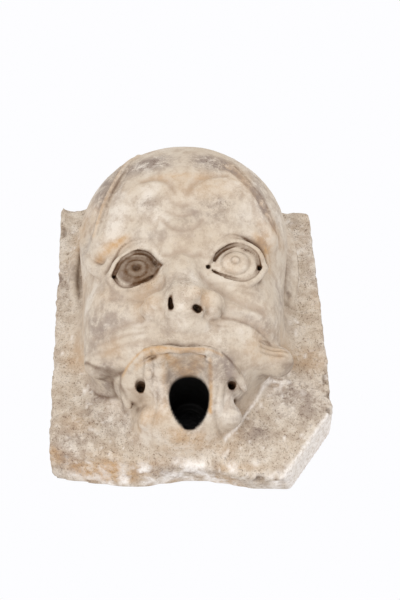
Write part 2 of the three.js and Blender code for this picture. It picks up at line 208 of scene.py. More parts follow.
# Painted lines over the surface: what they show, points (x, y), width, strength and heights z.
# The hollow and dust lines are painted shade in the nostrils, the drill holes and the grooves and
# folds of the brows, temples, cheeks, moustache and lip; the ochre and grey ones are stains and the
# fresh one is the repair seam.
LINES = [
    ("hollow", [(-23, -78), (-22, -90)], 2.8, 1.6, NOSE),
    ("hollow", [(8, -91), (16, -87)], 3.4, 1.6, NOSE),
    ("hollow", [(128, -112), (142, -105), (146, -93), (140, -80)], 2.0, 0.4, ANY),
    ("hollow", [(-142, -104), (-126, -116), (-104, -124), (-88, -128)], 1.8, 0.7, ANY),
    ("hollow", [(-92, -130), (-92, -139), (-85, -148)], 1.8, 0.5, ANY),
    ("hollow", [(40, -78), (62, -76), (88, -80), (112, -86)], 1.8, 0.4, ANY),
    ("hollow", [(96, -92), (112, -87), (132, -88)], 1.5, 0.4, ANY),
    ("hollow", [(96, -98), (112, -94), (134, -95)], 1.5, 0.4, ANY),
    ("hollow", [(98, -104), (112, -101), (132, -102)], 1.5, 0.4, ANY),
    ("dust", [(-60, -98), (-86, -96), (-112, -97), (-130, -91)], 3.0, 0.7, ANY),
    ("dust", [(-52, -110), (-80, -107), (-108, -108), (-128, -101)], 3.0, 0.7, ANY),
    ("hollow", [(66, 172), (94, 134), (112, 108), (122, 90)], 1.8, 0.5, ANY),
    ("hollow", [(-94, 192), (-111, 144), (-127, 104), (-138, 60)], 2.0, 0.5, ANY),
    ("hollow", [(-84, 190), (-101, 144), (-117, 104), (-129, 62)], 1.6, 0.4, ANY),
    ("hollow", [(40, -152), (35, -168), (40, -184), (54, -188)], 1.8, 0.3, ANY),
    ("hollow", [(-41, -156), (-43, -168), (-49, -184)], 1.8, 0.25, ANY),
    ("hollow", [(46, -122), (58, -127), (68, -134)], 2.0, 0.6, ANY),
    ("hollow", [(-64, -132), (-64, -142)], 5.0, 1.2, DEEP),
    ("hollow", [(59, -134), (59, -142)], 4.0, 1.2, DEEP),
    ("hollow", [(-48, -127), (-46, -137), (-48, -146)], 1.6, 0.4, ANY),
    ("hollow", [(-58, -129), (-60, -139)], 1.6, 0.4, ANY),
    ("ochre", [(-88, -131), (-78, -126), (-60, -121), (-41, -124), (-10, -129), (23, -126), (45, -126)],
     2.0, 0.8, ANY),
    ("ochre", [(-70, -131), (-50, -129), (-34, -129), (-8, -132), (20, -130)], 2.5, 0.5, ANY),
    ("ochre", [(29, -134), (30, -148), (29, -172)], 3.0, 1.0, ANY),
    ("ochre", [(-32, -136), (-31, -166)], 4.0, 0.4, ANY),
    ("ochre", [(56, 165), (88, 127), (107, 102), (124, 80)], 10.0, 0.8, ANY),
    ("grey", [(56, 165), (88, 127), (107, 102), (124, 80)], 8.0, 0.6, ANY),
    ("dust", [(-66, 122), (-44, 126), (-29, 118), (-20, 98)], 3.5, 0.9, ANY),
    ("dust", [(54, 138), (26, 130), (9, 118), (-2, 96)], 3.5, 0.9, ANY),
    ("dust", [(-31, 69), (-11, 61), (10, 68)], 2.5, 0.8, ANY),
    ("dust", [(-24, 82), (-11, 76), (3, 81)], 2.5, 0.7, ANY),
    ("dust", [(-36, 56), (-24, 41), (-9, 36), (8, 42), (19, 58)], 3.0, 0.9, ANY),
    ("dust", [(-34, 8), (-24, 4), (-10, 9), (6, 4), (16, 10)], 3.0, 0.8, ANY),
    ("dust", [(18, -24), (44, -42), (74, -54), (102, -58)], 5.0, 0.8, ANY),
    ("dust", [(-34, -34), (-58, -44), (-84, -50), (-106, -46)], 5.0, 0.6, ANY),
    ("dust", [(-62, -80), (-88, -82), (-112, -84), (-128, -84)], 4.0, 0.8, ANY),
    ("dust", [(46, -76), (66, -74), (88, -76), (106, -80)], 4.0, 0.8, ANY),
    ("ochre", [(-90, 196), (-106, 144), (-122, 104), (-134, 60)], 2.5, 0.5, ANY),
    ("ochre", [(-126, 26), (-108, 34), (-88, 44)], 6.0, 0.5, ANY),
    ("ochre", [(94, 50), (104, 38), (108, 22)], 6.0, 0.6, ANY),
    ("ochre", [(-190, -200), (-150, -214), (-100, -218)], 6.0, 1.0, ANY),
    ("fresh", REPAIR_SEAM, 1.8, 0.9, SLAB_FACE),
]


def ellipsoid(centre, radii, turn=0.0, tip=0.0):
    """An ellipsoid turned in the plane of the slab and tipped about the line across the face."""
    ct, st = math.cos(math.radians(turn)), math.sin(math.radians(turn))
    cp, sp = math.cos(math.radians(tip)), math.sin(math.radians(tip))
    reach = max(radii)
    box = [(c - reach, c + reach) for c in centre]

    def distance(x, y, z):
        dx, dy, dz = x - centre[0], y - centre[1], z - centre[2]
        across = dx * ct + dy * st
        up = dy * ct - dx * st
        a, b, c = across / radii[0], (up * cp + dz * sp) / radii[1], (dz * cp - up * sp) / radii[2]
        unit = np.sqrt(a * a + b * b + c * c)
        slope = np.sqrt((a / radii[0]) ** 2 + (b / radii[1]) ** 2 + (c / radii[2]) ** 2)
        return unit * (unit - 1) / np.maximum(slope, 1e-6)

    return box, distance


def smooth_line(points, steps):
    """Points along a smooth line through the given ones, with their last number carried along."""
    p = np.asarray(points, dtype=float)
    p = np.vstack([2 * p[0] - p[1], p, 2 * p[-1] - p[-2]])
    t = np.linspace(0, 1, steps, endpoint=False)[:, None]
    runs = []
    for a, b, c, d in zip(p, p[1:], p[2:], p[3:]):
        runs.append(0.5 * (2 * b + (c - a) * t + (2 * a - 5 * b + 4 * c - d) * t**2
                           + (3 * b - a - 3 * c + d) * t**3))
    return np.vstack(runs + [p[-2][None, :]])


def roll(points, steps=5):
    """A roll of stone along a smooth line through points (x, y, z, radius)."""
    beads = smooth_line(points, steps)
    beads[:, 3] = np.maximum(beads[:, 3], 0.5)
    box = [(float((beads[:, k] - beads[:, 3]).min()), float((beads[:, k] + beads[:, 3]).max()))
           for k in range(3)]

    def distance(x, y, z):
        nearest = np.inf
        for a, b in zip(beads, beads[1:]):
            e = b[:3] - a[:3]
            px, py, pz = x - a[0], y - a[1], z - a[2]
            t = np.clip((px * e[0] + py * e[1] + pz * e[2]) / max(e @ e, 1e-9), 0, 1)
            away = np.sqrt((px - t * e[0]) ** 2 + (py - t * e[1]) ** 2 + (pz - t * e[2]) ** 2)
            nearest = np.minimum(nearest, away - a[3] - t * (b[3] - a[3]))
        return nearest

    return box, distance


def half(point, normal):
    """The half of space behind a plane, whose normal points out of the stone."""
    n = np.asarray(normal, dtype=float)
    n = n / np.linalg.norm(n)
    return lambda x, y, z: (x - point[0]) * n[0] + (y - point[1]) * n[1] + (z - point[2]) * n[2]


def soft_min(a, b, soft):
    """The smaller distance, with the two run together over a soft seam."""
    near = np.maximum(soft - np.abs(a - b), 0) / soft
    return np.minimum(a, b) - near * near * soft / 4


def soft_max(a, b, soft):
    """The larger distance, with the two run together over a soft seam."""
    return -soft_min(-a, -b, soft)


class Stone:
    """A block as a field of distances on a grid, carved by additions and cuts that run together."""

    def __init__(self, xs, ys, zs, start):
        self.lines = (xs, ys, zs)
        self.field = start(xs[:, None, None], ys[None, :, None], zs[None, None, :]).astype(np.float32)

    def _blend(self, shape, soft, join):
        box, distance = shape
        cut = []
        for line, (low, high) in zip(self.lines, box):
            first = max(0, int(np.searchsorted(line, low - soft)) - 1)
            last = min(len(line), int(np.searchsorted(line, high + soft)) + 1)
            cut.append(slice(first, max(first, last)))
        xs, ys, zs = (line[c] for line, c in zip(self.lines, cut))
        if min(len(xs), len(ys), len(zs)) == 0:
            return
        here = distance(xs[:, None, None], ys[None, :, None], zs[None, None, :])
        window = tuple(cut)
        self.field[window] = join(self.field[window], here, soft)

    def add(self, shape, soft):
        self._blend(shape, soft, soft_min)

    def cut(self, shape, soft):
        self._blend(shape, soft, lambda d, s, k: soft_max(d, -s, k))

    def sample(self, points):
        """The field at any points, between its grid lines."""
        index, part = [], []
        for k, line in enumerate(self.lines):
            i = np.clip(np.searchsorted(line, points[:, k]) - 1, 0, len(line) - 2)
            index.append(i)
            part.append(np.clip((points[:, k] - line[i]) / (line[i + 1] - line[i]), 0, 1))
        i, j, k = index
        u, v, w = part
        total = 0
        for a in (0, 1):
            for b in (0, 1):
                for c in (0, 1):
                    share = (u if a else 1 - u) * (v if b else 1 - v) * (w if c else 1 - w)
                    total = total + share * self.field[i + a, j + b, k + c]
        return total

    def surface(self, x, y):
        """The point of the surface over a point of the slab, and the way the surface faces there."""
        zs = self.lines[2]
        value = self.sample(np.column_stack([np.full(len(zs), x), np.full(len(zs), y), zs]))
        inside = np.nonzero(value < 0)[0]
        k = min(inside[-1], len(zs) - 2) if len(inside) else 0
        t = np.clip(value[k] / (value[k] - value[k + 1]), 0, 1) if len(inside) else 0
        point = np.array([[x, y, zs[k] + t * (zs[k + 1] - zs[k])]])
        return point[0], surface_normals(self, point, 4.0)[0]

    def laid(self, points, radius, lift, ends=0.4):
        """A roll laid on the surface along points (x, y), finer at its ends."""
        beads = []
        for i, (x, y) in enumerate(points):
            full = ends + (1 - ends) * math.sin(math.pi * i / (len(points) - 1))
            r = radius * full
            point, normal = self.surface(x, y)
            beads.append((*(point + lift(r, full) * normal), r))
        return roll(beads)

    def pierce(self, x, y, radius, depth, soft=1.5):
        """A drilled hole, into the surface from in front and below."""
        point, _ = self.surface(x, y)
        start, end = point - 4 * DRILL, point + depth * DRILL
        self.cut(roll([(*start, radius), (*end, radius * 0.8)]), soft)

    def ridge(self, points, radius, rise, soft, ends=0.4):
        self.add(self.laid(points, radius, lambda r, full: rise * full - r, ends), soft)

    def groove(self, points, radius, depth, soft, ends=0.4):
        self.cut(self.laid(points, radius, lambda r, full: r - depth * full, ends), soft)


def slab(x, y, z):
    """The slab: straight sawn sides, a rough foot and a broken lower right corner."""
    planes = [
        half((SLAB_LEFT, 0, 0), (-1, -0.034, 0)),
        half((SLAB_RIGHT, 0, 0), (1, 0.035, 0)),
        half((0, SLAB_TOP, 0), (0.03, 1, 0.02)),
        half((0, SLAB_FOOT, 0), (-0.01, -0.95, -0.2)),
        half((-98, -211, SLAB_THICKNESS), (-0.132, -0.925, 0.356)),
        half((-190, -208, 26), (-0.62, -0.75, 0.2)),
        half(CORNER_BREAK, CORNER_NORMAL),
        half((-207, 238, SLAB_THICKNESS), (-0.7, 0.6, 0.5)),
        half((190, 226, SLAB_THICKNESS), (0.7, 0.6, 0.4)),
        half((0, 0, SLAB_THICKNESS), (0, 0, 1)),
    ]
    d = planes[0](x, y, z)
    for plane in planes[1:]:
        d = soft_max(d, plane(x, y, z), SLAB_WEAR)
    return d


def carve_masses(stone):
    """Skull, face, cheeks, jowls, muzzle and chin."""
    stone.add(ellipsoid((HEAD_X, 114, FOREHEAD_Z - SKULL_DEPTH), (HEAD_HALF_WIDTH, 151, SKULL_DEPTH)), 14)
    stone.add(ellipsoid((HEAD_X, -2, 86), (HEAD_HALF_WIDTH - JAW_INSET, 150, 126)), 40)
    stone.add(ellipsoid((-82, -42, 140), (58, 66, 60)), 30)
    stone.add(ellipsoid((62, -36, 140), (58, 66, 60)), 30)
    stone.add(ellipsoid((-90, -74, 98), (54, 46, 62)), 20)
    stone.add(ellipsoid((70, -66, 100), (54, 46, 62)), 20)
    stone.add(ellipsoid((-6, -100, 108), (88, 58, 84)), 24)
    stone.add(ellipsoid((-8, -158, 46), (66, 52, 42)), 24)
    stone.cut(ellipsoid((8, -254, 0), (82, 32, 70)), 12)


def carve_forehead(stone):
    """The scowl: two bulges that meet in a cleft over the nose, and the wrinkles between them."""
    stone.add(ellipsoid((-62, 104, 196), (52, 34, 44), 18), 22)
    stone.add(ellipsoid((48, 112, 196), (56, 34, 44), -14), 22)
    stone.add(ellipsoid((-11, 42, 212), (34, 22, 32)), 16)
    stone.groove([(-66, 122), (-44, 126), (-29, 118), (-20, 98)], 7, 4.5, 4, 0.3)
    stone.groove([(54, 138), (26, 130), (9, 118), (-2, 96)], 7, 4.5, 4, 0.3)
    stone.add(ellipsoid((-96, 60, 180), (46, 34, 32), 20), 14)
    stone.add(ellipsoid((84, 74, 182), (42, 32, 30), -20), 14)
    stone.groove([(-24, 82), (-11, 76), (3, 81)], 5, 2.4, 3)
    stone.groove([(-31, 69), (-11, 61), (10, 68)], 5, 2.6, 3)
    stone.groove([(-36, 56), (-24, 41), (-9, 36), (8, 42), (19, 58)], 6, 3.6, 3.5)
    stone.groove([(-20, 31), (-10, 26), (2, 33)], 5, 3, 3)
    stone.add(ellipsoid((-56, 78, 232), (19, 11, 9), -20), 8)
    stone.add(ellipsoid((40, 84, 232), (19, 11, 9), 20), 8)


def carve_temples(stone):
    """The hair line: a raised band down each temple with a sunk strip beside it."""
    stone.ridge([(-76, 212), (-92, 182), (-106, 144), (-122, 104), (-134, 60)], 7, 5, 2, 0.6)
    stone.groove([(-84, 176), (-98, 144), (-114, 104), (-126, 62)], 5, 4.2, 2)
    stone.groove([(-102, 178), (-117, 140), (-131, 102), (-141, 62)], 6, 4.2, 2)
    stone.groove([(54, 166), (86, 128), (105, 102), (124, 78)], 11, 3.5, 3, 0.6)
    stone.ridge([(44, 160), (76, 120), (96, 94), (110, 72)], 6, 2.5, 3)
    stone.ridge([(66, 176), (96, 138), (115, 108), (130, 84)], 5, 2.5, 2.5)


def carve_eye(stone, eye, drilled):
    """One eye: a drilled hollow, the ball with its ring and pupil, and the two lids."""
    x, y, z = eye["middle"]
    turn = eye["turn"]

    def around(points, r, out=1.0, lift=0.0):
        return roll([(x + dx * out, y + dy * out, z + dz + lift, r) for dx, dy, dz in points])

    stone.add(around(eye["upper"], 6, 1.16, -3), 6)
    stone.add(around(eye["lower"], 5, 1.14, -5), 8)
    stone.cut(ellipsoid((x, y, z + 14), (34, 26, 22), turn), 3)
    stone.add(ellipsoid((x, y, z - 15), (37, 31, 19), turn), 1)
    stone.cut(around(eye["upper"], 3.0, 1.0, 1), 1.5)
    stone.cut(around(eye["lower"], 2.4), 1.5)
    for dx, dy, _ in (eye["upper"][0], eye["upper"][-1]):
        stone.pierce(x + dx, y + dy, 3.0, 12)
    turns = [math.radians(a) for a in range(0, 361, 30)]
    rings = [(eye["iris"], 2.2, 1.6)]
    if drilled:
        rings.append((9, 2.0, 0.8))
    for radius, wide, deep in rings:
        around_iris = [(x + radius * math.cos(a), y + radius * math.sin(a)) for a in turns]
        stone.groove(around_iris, wide, deep, 1, 1.0)
    if drilled:
        stone.cut(ellipsoid((x, y, z + 4), (5.5, 5.5, 9)), 1.5)
    else:
        stone.add(ellipsoid((x, y, z + 4), (5.5, 5.5, 3)), 1.5)


def carve_brows(stone):
    """The heavy folds of the brows; the left one hangs in a lobe beside the eye."""
    left = [
        (-157, 110, 142, 4), (-150, 70, 156, 6), (-138, 28, 174, 8), (-122, 9, 184, 9),
        (-111, 13, 190, 7), (-103, 30, 197, 6), (-87, 41, 207, 6), (-66, 43, 214, 6),
        (-48, 32, 216, 5), (-36, 14, 212, 4),
    ]
    right = [
        (27, 4, 208, 3), (33, 20, 212, 5), (47, 39, 215, 6), (67, 54, 215, 6), (88, 54, 206, 6),
        (103, 41, 193, 6), (109, 19, 184, 4),
    ]
    stone.add(roll(left), 7)
    stone.add(roll(right), 7)
    stone.add(ellipsoid((-157, 112, 148), (6, 7, 7)), 2)
    stone.cut(roll([(-162, 84, 144, 4), (-154, 40, 158, 4), (-143, 8, 168, 4), (-130, -8, 178, 3)]), 2)
    stone.groove([(-103, 14), (-92, 30), (-72, 35), (-52, 29), (-36, 10)], 3.5, 3, 2)
    stone.groove([(30, 14), (44, 33), (62, 43), (82, 42), (97, 28)], 3.5, 3, 2)
    stone.groove([(-140, 52), (-122, 44), (-100, 52), (-70, 60), (-44, 52)], 8, 2.5, 6)
    stone.groove([(40, 66), (62, 74), (88, 74), (108, 60)], 8, 2.5, 6)


def carve_nose(stone):
    """A broad, squashed nose with its tip knocked off, drilled nostrils and a fold on its bridge."""
    stone.add(roll([(-11, 14, 208, 20), (-9, -20, 212, 25), (-7, -50, 214, 27)]), 16)
    stone.add(ellipsoid((-6, -70, 222), (27, 25, 31)), 10)
    stone.add(ellipsoid((-40, -68, 204), (23, 20, 24), 14), 10)
    stone.add(ellipsoid((27, -65, 206), (22, 20, 26), -16), 9)
    stone.add(ellipsoid((-5, -90, 225), (25, 8, 14)), 9)
    stone.cut(ellipsoid((-2, -60, 266), (27, 27, 15), 0, -12), 5)
    stone.add(ellipsoid((6, -72, 246), (12, 12, 9)), 5)
    bores = [
        (-23, -79, 2.0), (-23, -82, 2.6), (-23, -85, 3.2), (-22, -88, 3.8), (10, -90, 4.4), (13, -89, 4.6),
    ]
    for x, y, radius in bores:
        stone.pierce(x, y, radius, 20, 1)
    stone.groove([(16, -46), (33, -50), (46, -66), (48, -84)], 4, 3, 2.5)
    stone.groove([(-63, -56), (-57, -72), (-42, -84), (-26, -90)], 4, 1.3, 3)
    stone.groove([(-34, 8), (-24, 2), (-10, 8), (6, 3), (16, 10)], 6, 2.5, 4)
    stone.groove([(-20, -30), (-24, -48), (-30, -60)], 6, 2, 5)


def carve_cheeks(stone):
    """The bags under the eyes and the folds from the nose to the ends of the moustache."""
    stone.groove([(18, -24), (44, -42), (74, -54), (102, -58)], 9, 5, 5, 0.4)
    stone.groove([(46, -76), (66, -74), (88, -76), (106, -80)], 8, 5.5, 4, 0.3)
    stone.groove([(-34, -34), (-58, -44), (-84, -50), (-106, -46)], 12, 4, 7, 0.3)
    stone.groove([(-62, -80), (-88, -82), (-112, -84), (-128, -84)], 10, 4.5, 6, 0.3)
    stone.groove([(30, -32), (56, -34), (80, -36)], 6, 1.6, 4)
    stone.groove([(-40, -40), (-66, -48), (-90, -40)], 6, 1.6, 4)


def carve_moustache(stone):
    """Two drooping halves; the right one ends in a rounded lock and the left one is worn away."""
    left = [(-12, -102, 188, 17), (-50, -98, 172, 21), (-90, -100, 146, 22), (-124, -100, 118, 20)]
    right = [(0, -102, 188, 17), (36, -98, 172, 21), (74, -98, 148, 21), (100, -98, 126, 18)]
    stone.add(roll(left), 12)
    stone.add(roll(right), 12)
    stone.add(roll([(-28, -93, 204, 9), (-6, -97, 212, 11), (16, -94, 204, 9)]), 12)
    stone.add(ellipsoid((120, -96, 116), (25, 20, 27), -6), 7)
    for rise in (10, 3, -4):
        stone.groove([(94, -100 + 0.8 * rise), (112, -97 + rise), (130, -98 + rise)], 3.2, 2.2, 1.5)
    for k in range(4):
        y = -86 - 9 * k
        stone.groove([(-56, y - 3), (-84, y), (-108, y - 1), (-128, y + 4)], 4, 1.6, 2.5)
        stone.groove([(40, y - 1), (60, y + 2), (78, y + 3)], 4, 1.3, 2.5)
    stone.groove([(-134, -108), (-114, -116), (-90, -120)], 5, 3, 3)


def carve_mouth(stone):
    """The open shout: the curled upper lip, a wall to each side of the channel, the drilled
    corners and the bosses over the chin."""
    lip = [
        (-82, -152, 92, 5), (-86, -145, 104, 6), (-87, -136, 118, 6), (-84, -129, 133, 6),
        (-77, -126, 150, 6), (-65, -124, 167, 6), (-54, -122, 181, 6), (-40, -124, 190, 6),
        (-22, -126, 195, 5), (-8, -128, 195, 5), (6, -127, 194, 5), (24, -125, 189, 6),
        (38, -124, 178, 6), (51, -127, 164, 6), (61, -131, 149, 6), (69, -135, 134, 6),
        (76, -141, 118, 4),
    ]
    stone.cut(ellipsoid((-9, -152, 186), (64, 25, 52)), 8)
    stone.add(ellipsoid((-8, -160, 60), (66, 48, 62)), 12)
    stone.add(ellipsoid((-76, -126, 102), (23, 22, 36)), 10)
    stone.add(ellipsoid((56, -126, 104), (21, 20, 34)), 8)
    stone.cut(ellipsoid((1, -151, 160), (30, 24, 40)), 6)
    stone.cut(ellipsoid((45, -138, 156), (16, 9, 16), -30), 6)
    stone.add(roll(lip), 3)
    stone.add(roll([(-77, -139, 124, 4), (-69, -132, 146, 4), (-55, -130, 164, 4), (-38, -131, 176, 4)]), 4)
    stone.add(roll([(26, -130, 178, 4), (44, -131, 162, 4), (55, -135, 144, 5)]), 4)
    stone.add(roll([(-34, -124, 178, 6), (-36, -138, 148, 9), (-35, -166, 104, 10)]), 8)
    stone.add(roll([(35, -124, 174, 6), (38, -138, 146, 9), (37, -166, 104, 10)]), 8)
    stone.add(ellipsoid((-53, -136, 152), (6, 9, 9), 8), 2)
    stone.add(ellipsoid((54, -131, 144), (15, 10, 14), -36), 4)
    stone.cut(roll([(-65, -146, 146, 7), (-64, -134, 96, 6.5)]), 2)
    stone.cut(roll([(59, -145, 146, 5.5), (58, -132, 100, 5)]), 2)
    stone.add(ellipsoid((53, -166, 86), (20, 17, 21)), 3)
    stone.groove([(40, -152), (35, -168), (40, -184), (54, -188)], 4, 2, 3)
    stone.add(ellipsoid((-54, -168, 90), (13, 20, 18), -24), 3)
    stone.groove([(-40, -154), (-42, -168), (-48, -184)], 4, 1.6, 3)
    stone.add(roll([(51, -146, 110, 9), (53, -158, 98, 10)]), 6)


def carve_ears(stone):
    """What is left of the ears: a narrow rim along each side of the head, double on the right."""
    stone.add(roll([(-166, 176, 50, 4), (-178, 132, 54, 7), (-178, 80, 54, 7), (-168, 34, 50, 4)]), 4)
    stone.add(roll([(148, 206, 50, 4), (160, 150, 56, 6), (160, 90, 56, 6), (151, 42, 54, 6)]), 4)
    stone.add(roll([(143, 196, 58, 5), (146, 120, 62, 9), (144, 56, 60, 9)]), 10)
    stone.cut(roll([(148, 42, 66, 4), (149, 56, 66, 4)]), 2)


def break_edges(stone):
    """Chips knocked out of the slab's front edges and out of its worn foot."""
    chance = np.random.default_rng(11)
    for _ in range(EDGE_CHIPS):
        edge = chance.integers(0, 4)
        t = chance.uniform(0, 1)
        if edge == 0:
            x, y = SLAB_LEFT - 2, -200 + 430 * t
        elif edge == 1:
            x, y = SLAB_RIGHT + 2, -140 + 360 * t
        elif edge == 2:
            x, y = SLAB_LEFT + 30 * t, SLAB_TOP + 4
        else:
            x, y = -190 + 330 * t, -222 - 20 * t
        radii = chance.uniform(4, 11, 3)
        z = SLAB_THICKNESS + chance.uniform(-6, 3)
        stone.cut(ellipsoid((x, y, z), radii, chance.uniform(0, 90)), 2)
    for _ in range(FOOT_CHIPS):
        x = chance.uniform(-180, 140)
        y = -220 - 0.07 * (x + 100)
        radii = chance.uniform(5, 14, 3)
        below = y - chance.uniform(8, 14)
        z = chance.uniform(16, 52)
        stone.cut(ellipsoid((x, below, z), radii, chance.uniform(0, 90)), 4)


def drill_channel(stone):
    """The water channel: an egg-shaped throat, pointed below, and the round pipe hole behind it."""
    def throat(x, y, z):
        dy = y - CHANNEL_Y
        down = np.maximum(0, -dy / (CHANNEL_RADIUS * THROAT_DROP))
        up = np.where(dy < 0, dy / THROAT_DROP, dy)
        side = (x - CHANNEL_X) / (1 - THROAT_POINT * np.minimum(down, 1) ** 2)
        return np.maximum(np.sqrt(side * side + up * up) - CHANNEL_RADIUS, PIPE_DEPTH - z)

    def pipe(x, y, z):
        return np.sqrt((x - CHANNEL_X) ** 2 + (y - CHANNEL_Y) ** 2) - PIPE_RADIUS + 0 * z

    reach = CHANNEL_RADIUS * THROAT_DROP
    box = [(CHANNEL_X - reach, CHANNEL_X + reach), (CHANNEL_Y - reach, CHANNEL_Y + reach), (-20, 300)]
    stone.cut((box, throat), 1.5)
    stone.cut((box, pipe), 1.5)


def grid_lines(stops):
    """Grid lines from the first stop to the last: [place, step, place, step, ..., place]."""
    lines = [stops[0]]
    for start, step, end in zip(stops[0::2], stops[1::2], stops[2::2]):
        count = max(1, round((end - start) / step))
        lines.extend(start + (end - start) * k / count for k in range(1, count + 1))
    return np.array(lines, dtype=np.float64)


def carve(step):
    """The whole stone, with grid lines a step apart over the features and wider over the rest."""
    between = step * BETWEEN_STEPS
    wide = step * WIDE_STEPS
    xs = grid_lines([-230, wide, -150, between, -112, step, 104, between, 134, wide, 230])
    ys = grid_lines([-262, wide, -186, step, 50, between, 130, wide, 280])
    zs = grid_lines([-2 * wide, between, 120, step, 276])
    stone = Stone(xs, ys, zs, slab)
    carve_masses(stone)
    carve_forehead(stone)
    carve_temples(stone)
    carve_brows(stone)
    carve_eye(stone, LEFT_EYE, True)
    carve_eye(stone, RIGHT_EYE, False)
    carve_nose(stone)
    carve_cheeks(stone)
    carve_moustache(stone)
    carve_mouth(stone)
    carve_ears(stone)
    break_edges(stone)
    drill_channel(stone)
    z = zs[None, None, :]
    stone.field = np.maximum(stone.field, (-z).astype(np.float32))
    return stone


def skin(stone):
    """Vertices and quads of the surface, with one vertex in each grid cell that it crosses."""
    field = stone.field
    inside = field < 0
    nx, ny, nz = field.shape
    low = inside[:-1, :-1, :-1].copy()
    high = low.copy()
    for a in (0, 1):
        for b in (0, 1):
            for c in (0, 1):
                corner = inside[a:nx - 1 + a, b:ny - 1 + b, c:nz - 1 + c]
                low &= corner
                high |= corner
    cells = np.argwhere(high & ~low)
    number = np.full((nx - 1, ny - 1, nz - 1), -1, dtype=np.int64)
    number[tuple(cells.T)] = np.arange(len(cells))
    corners = [(a, b, c) for a in (0, 1) for b in (0, 1) for c in (0, 1)]
    value = {n: field[tuple((cells + n).T)].astype(float) for n in corners}
    place = {n: np.column_stack([line[cells[:, k] + n[k]] for k, line in enumerate(stone.lines)])
             for n in corners}
    total = np.zeros((len(cells), 3))
    count = np.zeros(len(cells))
    for a in corners:
        for k in range(3):
            if a[k]:
                continue
            b = tuple(1 if m == k else a[m] for m in range(3))
            crossed = (value[a] < 0) != (value[b] < 0)
            gap = np.where(crossed, value[a] - value[b], 1)
            t = np.where(crossed, value[a] / gap, 0)[:, None]
            total += np.where(crossed[:, None], place[a] + t * (place[b] - place[a]), 0)
            count += crossed
    vertices = total / count[:, None]
    quads = []
    for axis in range(3):
        e = np.eye(3, dtype=int)[axis]
        u, v = np.eye(3, dtype=int)[(axis + 1) % 3], np.eye(3, dtype=int)[(axis + 2) % 3]
        span = [slice(1, n - 1) for n in (nx, ny, nz)]
        here = inside[tuple(span)]
        ahead = inside[tuple(slice(1 + e[k], n - 1 + e[k]) for k, n in enumerate((nx, ny, nz)))]
        at = np.argwhere(here != ahead) + 1
        ring = [number[tuple((at - s).T)] for s in (0 * u, u, u + v, v)]
        faces = np.column_stack(ring)
        outward = here[tuple((at - 1).T)]
        faces[~outward] = faces[~outward][:, ::-1]
        quads.append(faces)
    quads = np.vstack(quads)
    return vertices, quads[(quads >= 0).all(axis=1)]


def settle(stone, vertices, rounds=3):
    """Draws the vertices onto the surface, along the field's own slope."""
    for _ in range(rounds):
        slope = surface_normals(stone, vertices)
        vertices = vertices - 0.6 * stone.sample(vertices)[:, None] * slope
    return vertices


def surface_normals(stone, vertices, reach=1.5):
    """The way that the surface faces at each vertex, from the slope of the field."""
    slope = np.empty_like(vertices)
    for k in range(3):
        step = np.zeros(3)
        step[k] = reach
        slope[:, k] = stone.sample(vertices + step) - stone.sample(vertices - step)
    return slope / np.maximum(np.linalg.norm(slope, axis=1, keepdims=True), 1e-6)


def noise(points, size, seed):
    """Smooth random values from -1 to 1 that change over size millimetres."""
    lattice = np.random.default_rng(seed).uniform(-1, 1, (LATTICE, LATTICE, LATTICE))
    p = points / size
    whole = np.floor(p).astype(int)
    f = p - whole
    f = f * f * (3 - 2 * f)
    total = 0
    for a in (0, 1):
        for b in (0, 1):
            for c in (0, 1):
                share = (f[:, 0] if a else 1 - f[:, 0]) * (f[:, 1] if b else 1 - f[:, 1])
                share = share * (f[:, 2] if c else 1 - f[:, 2])
                n = (whole + (a, b, c)) % LATTICE
                total = total + share * lattice[n[:, 0], n[:, 1], n[:, 2]]
    return total


def hollows(stone, vertices, normals, reaches=(5.0, 11.0, 22.0)):
    """How shut in each vertex is, from 0 in the open to 1 deep in a hollow."""
    shut = 0
    for reach in reaches:
        open_air = stone.sample(vertices + reach * normals)
        shut = shut + np.clip(1 - open_air / reach, 0, 1)
    return shut / len(reaches)


def spot(vertices, centre, radii):
    """A soft round patch over the surface: 1 at its centre, and fading out past its radii."""
    away = sum(((vertices[:, k] - centre[k]) / radii[k]) ** 2 for k in range(len(centre)))
    return np.exp(-1.5 * away)


def along(vertices, points, width):
    """A soft line over the surface through points (x, y): 1 on it, and fading out past its width."""
    beads = smooth_line([(x, y, 0) for x, y in points], 4)[:, :2]
    nearest = np.full(len(vertices), np.inf)
    for a, b in zip(beads, beads[1:]):
        e = b - a
        d = vertices[:, :2] - a
        t = np.clip(d @ e / max(e @ e, 1e-9), 0, 1)
        nearest = np.minimum(nearest, np.hypot(*(d - t[:, None] * e).T))
    return np.exp(-((nearest / width) ** 2))


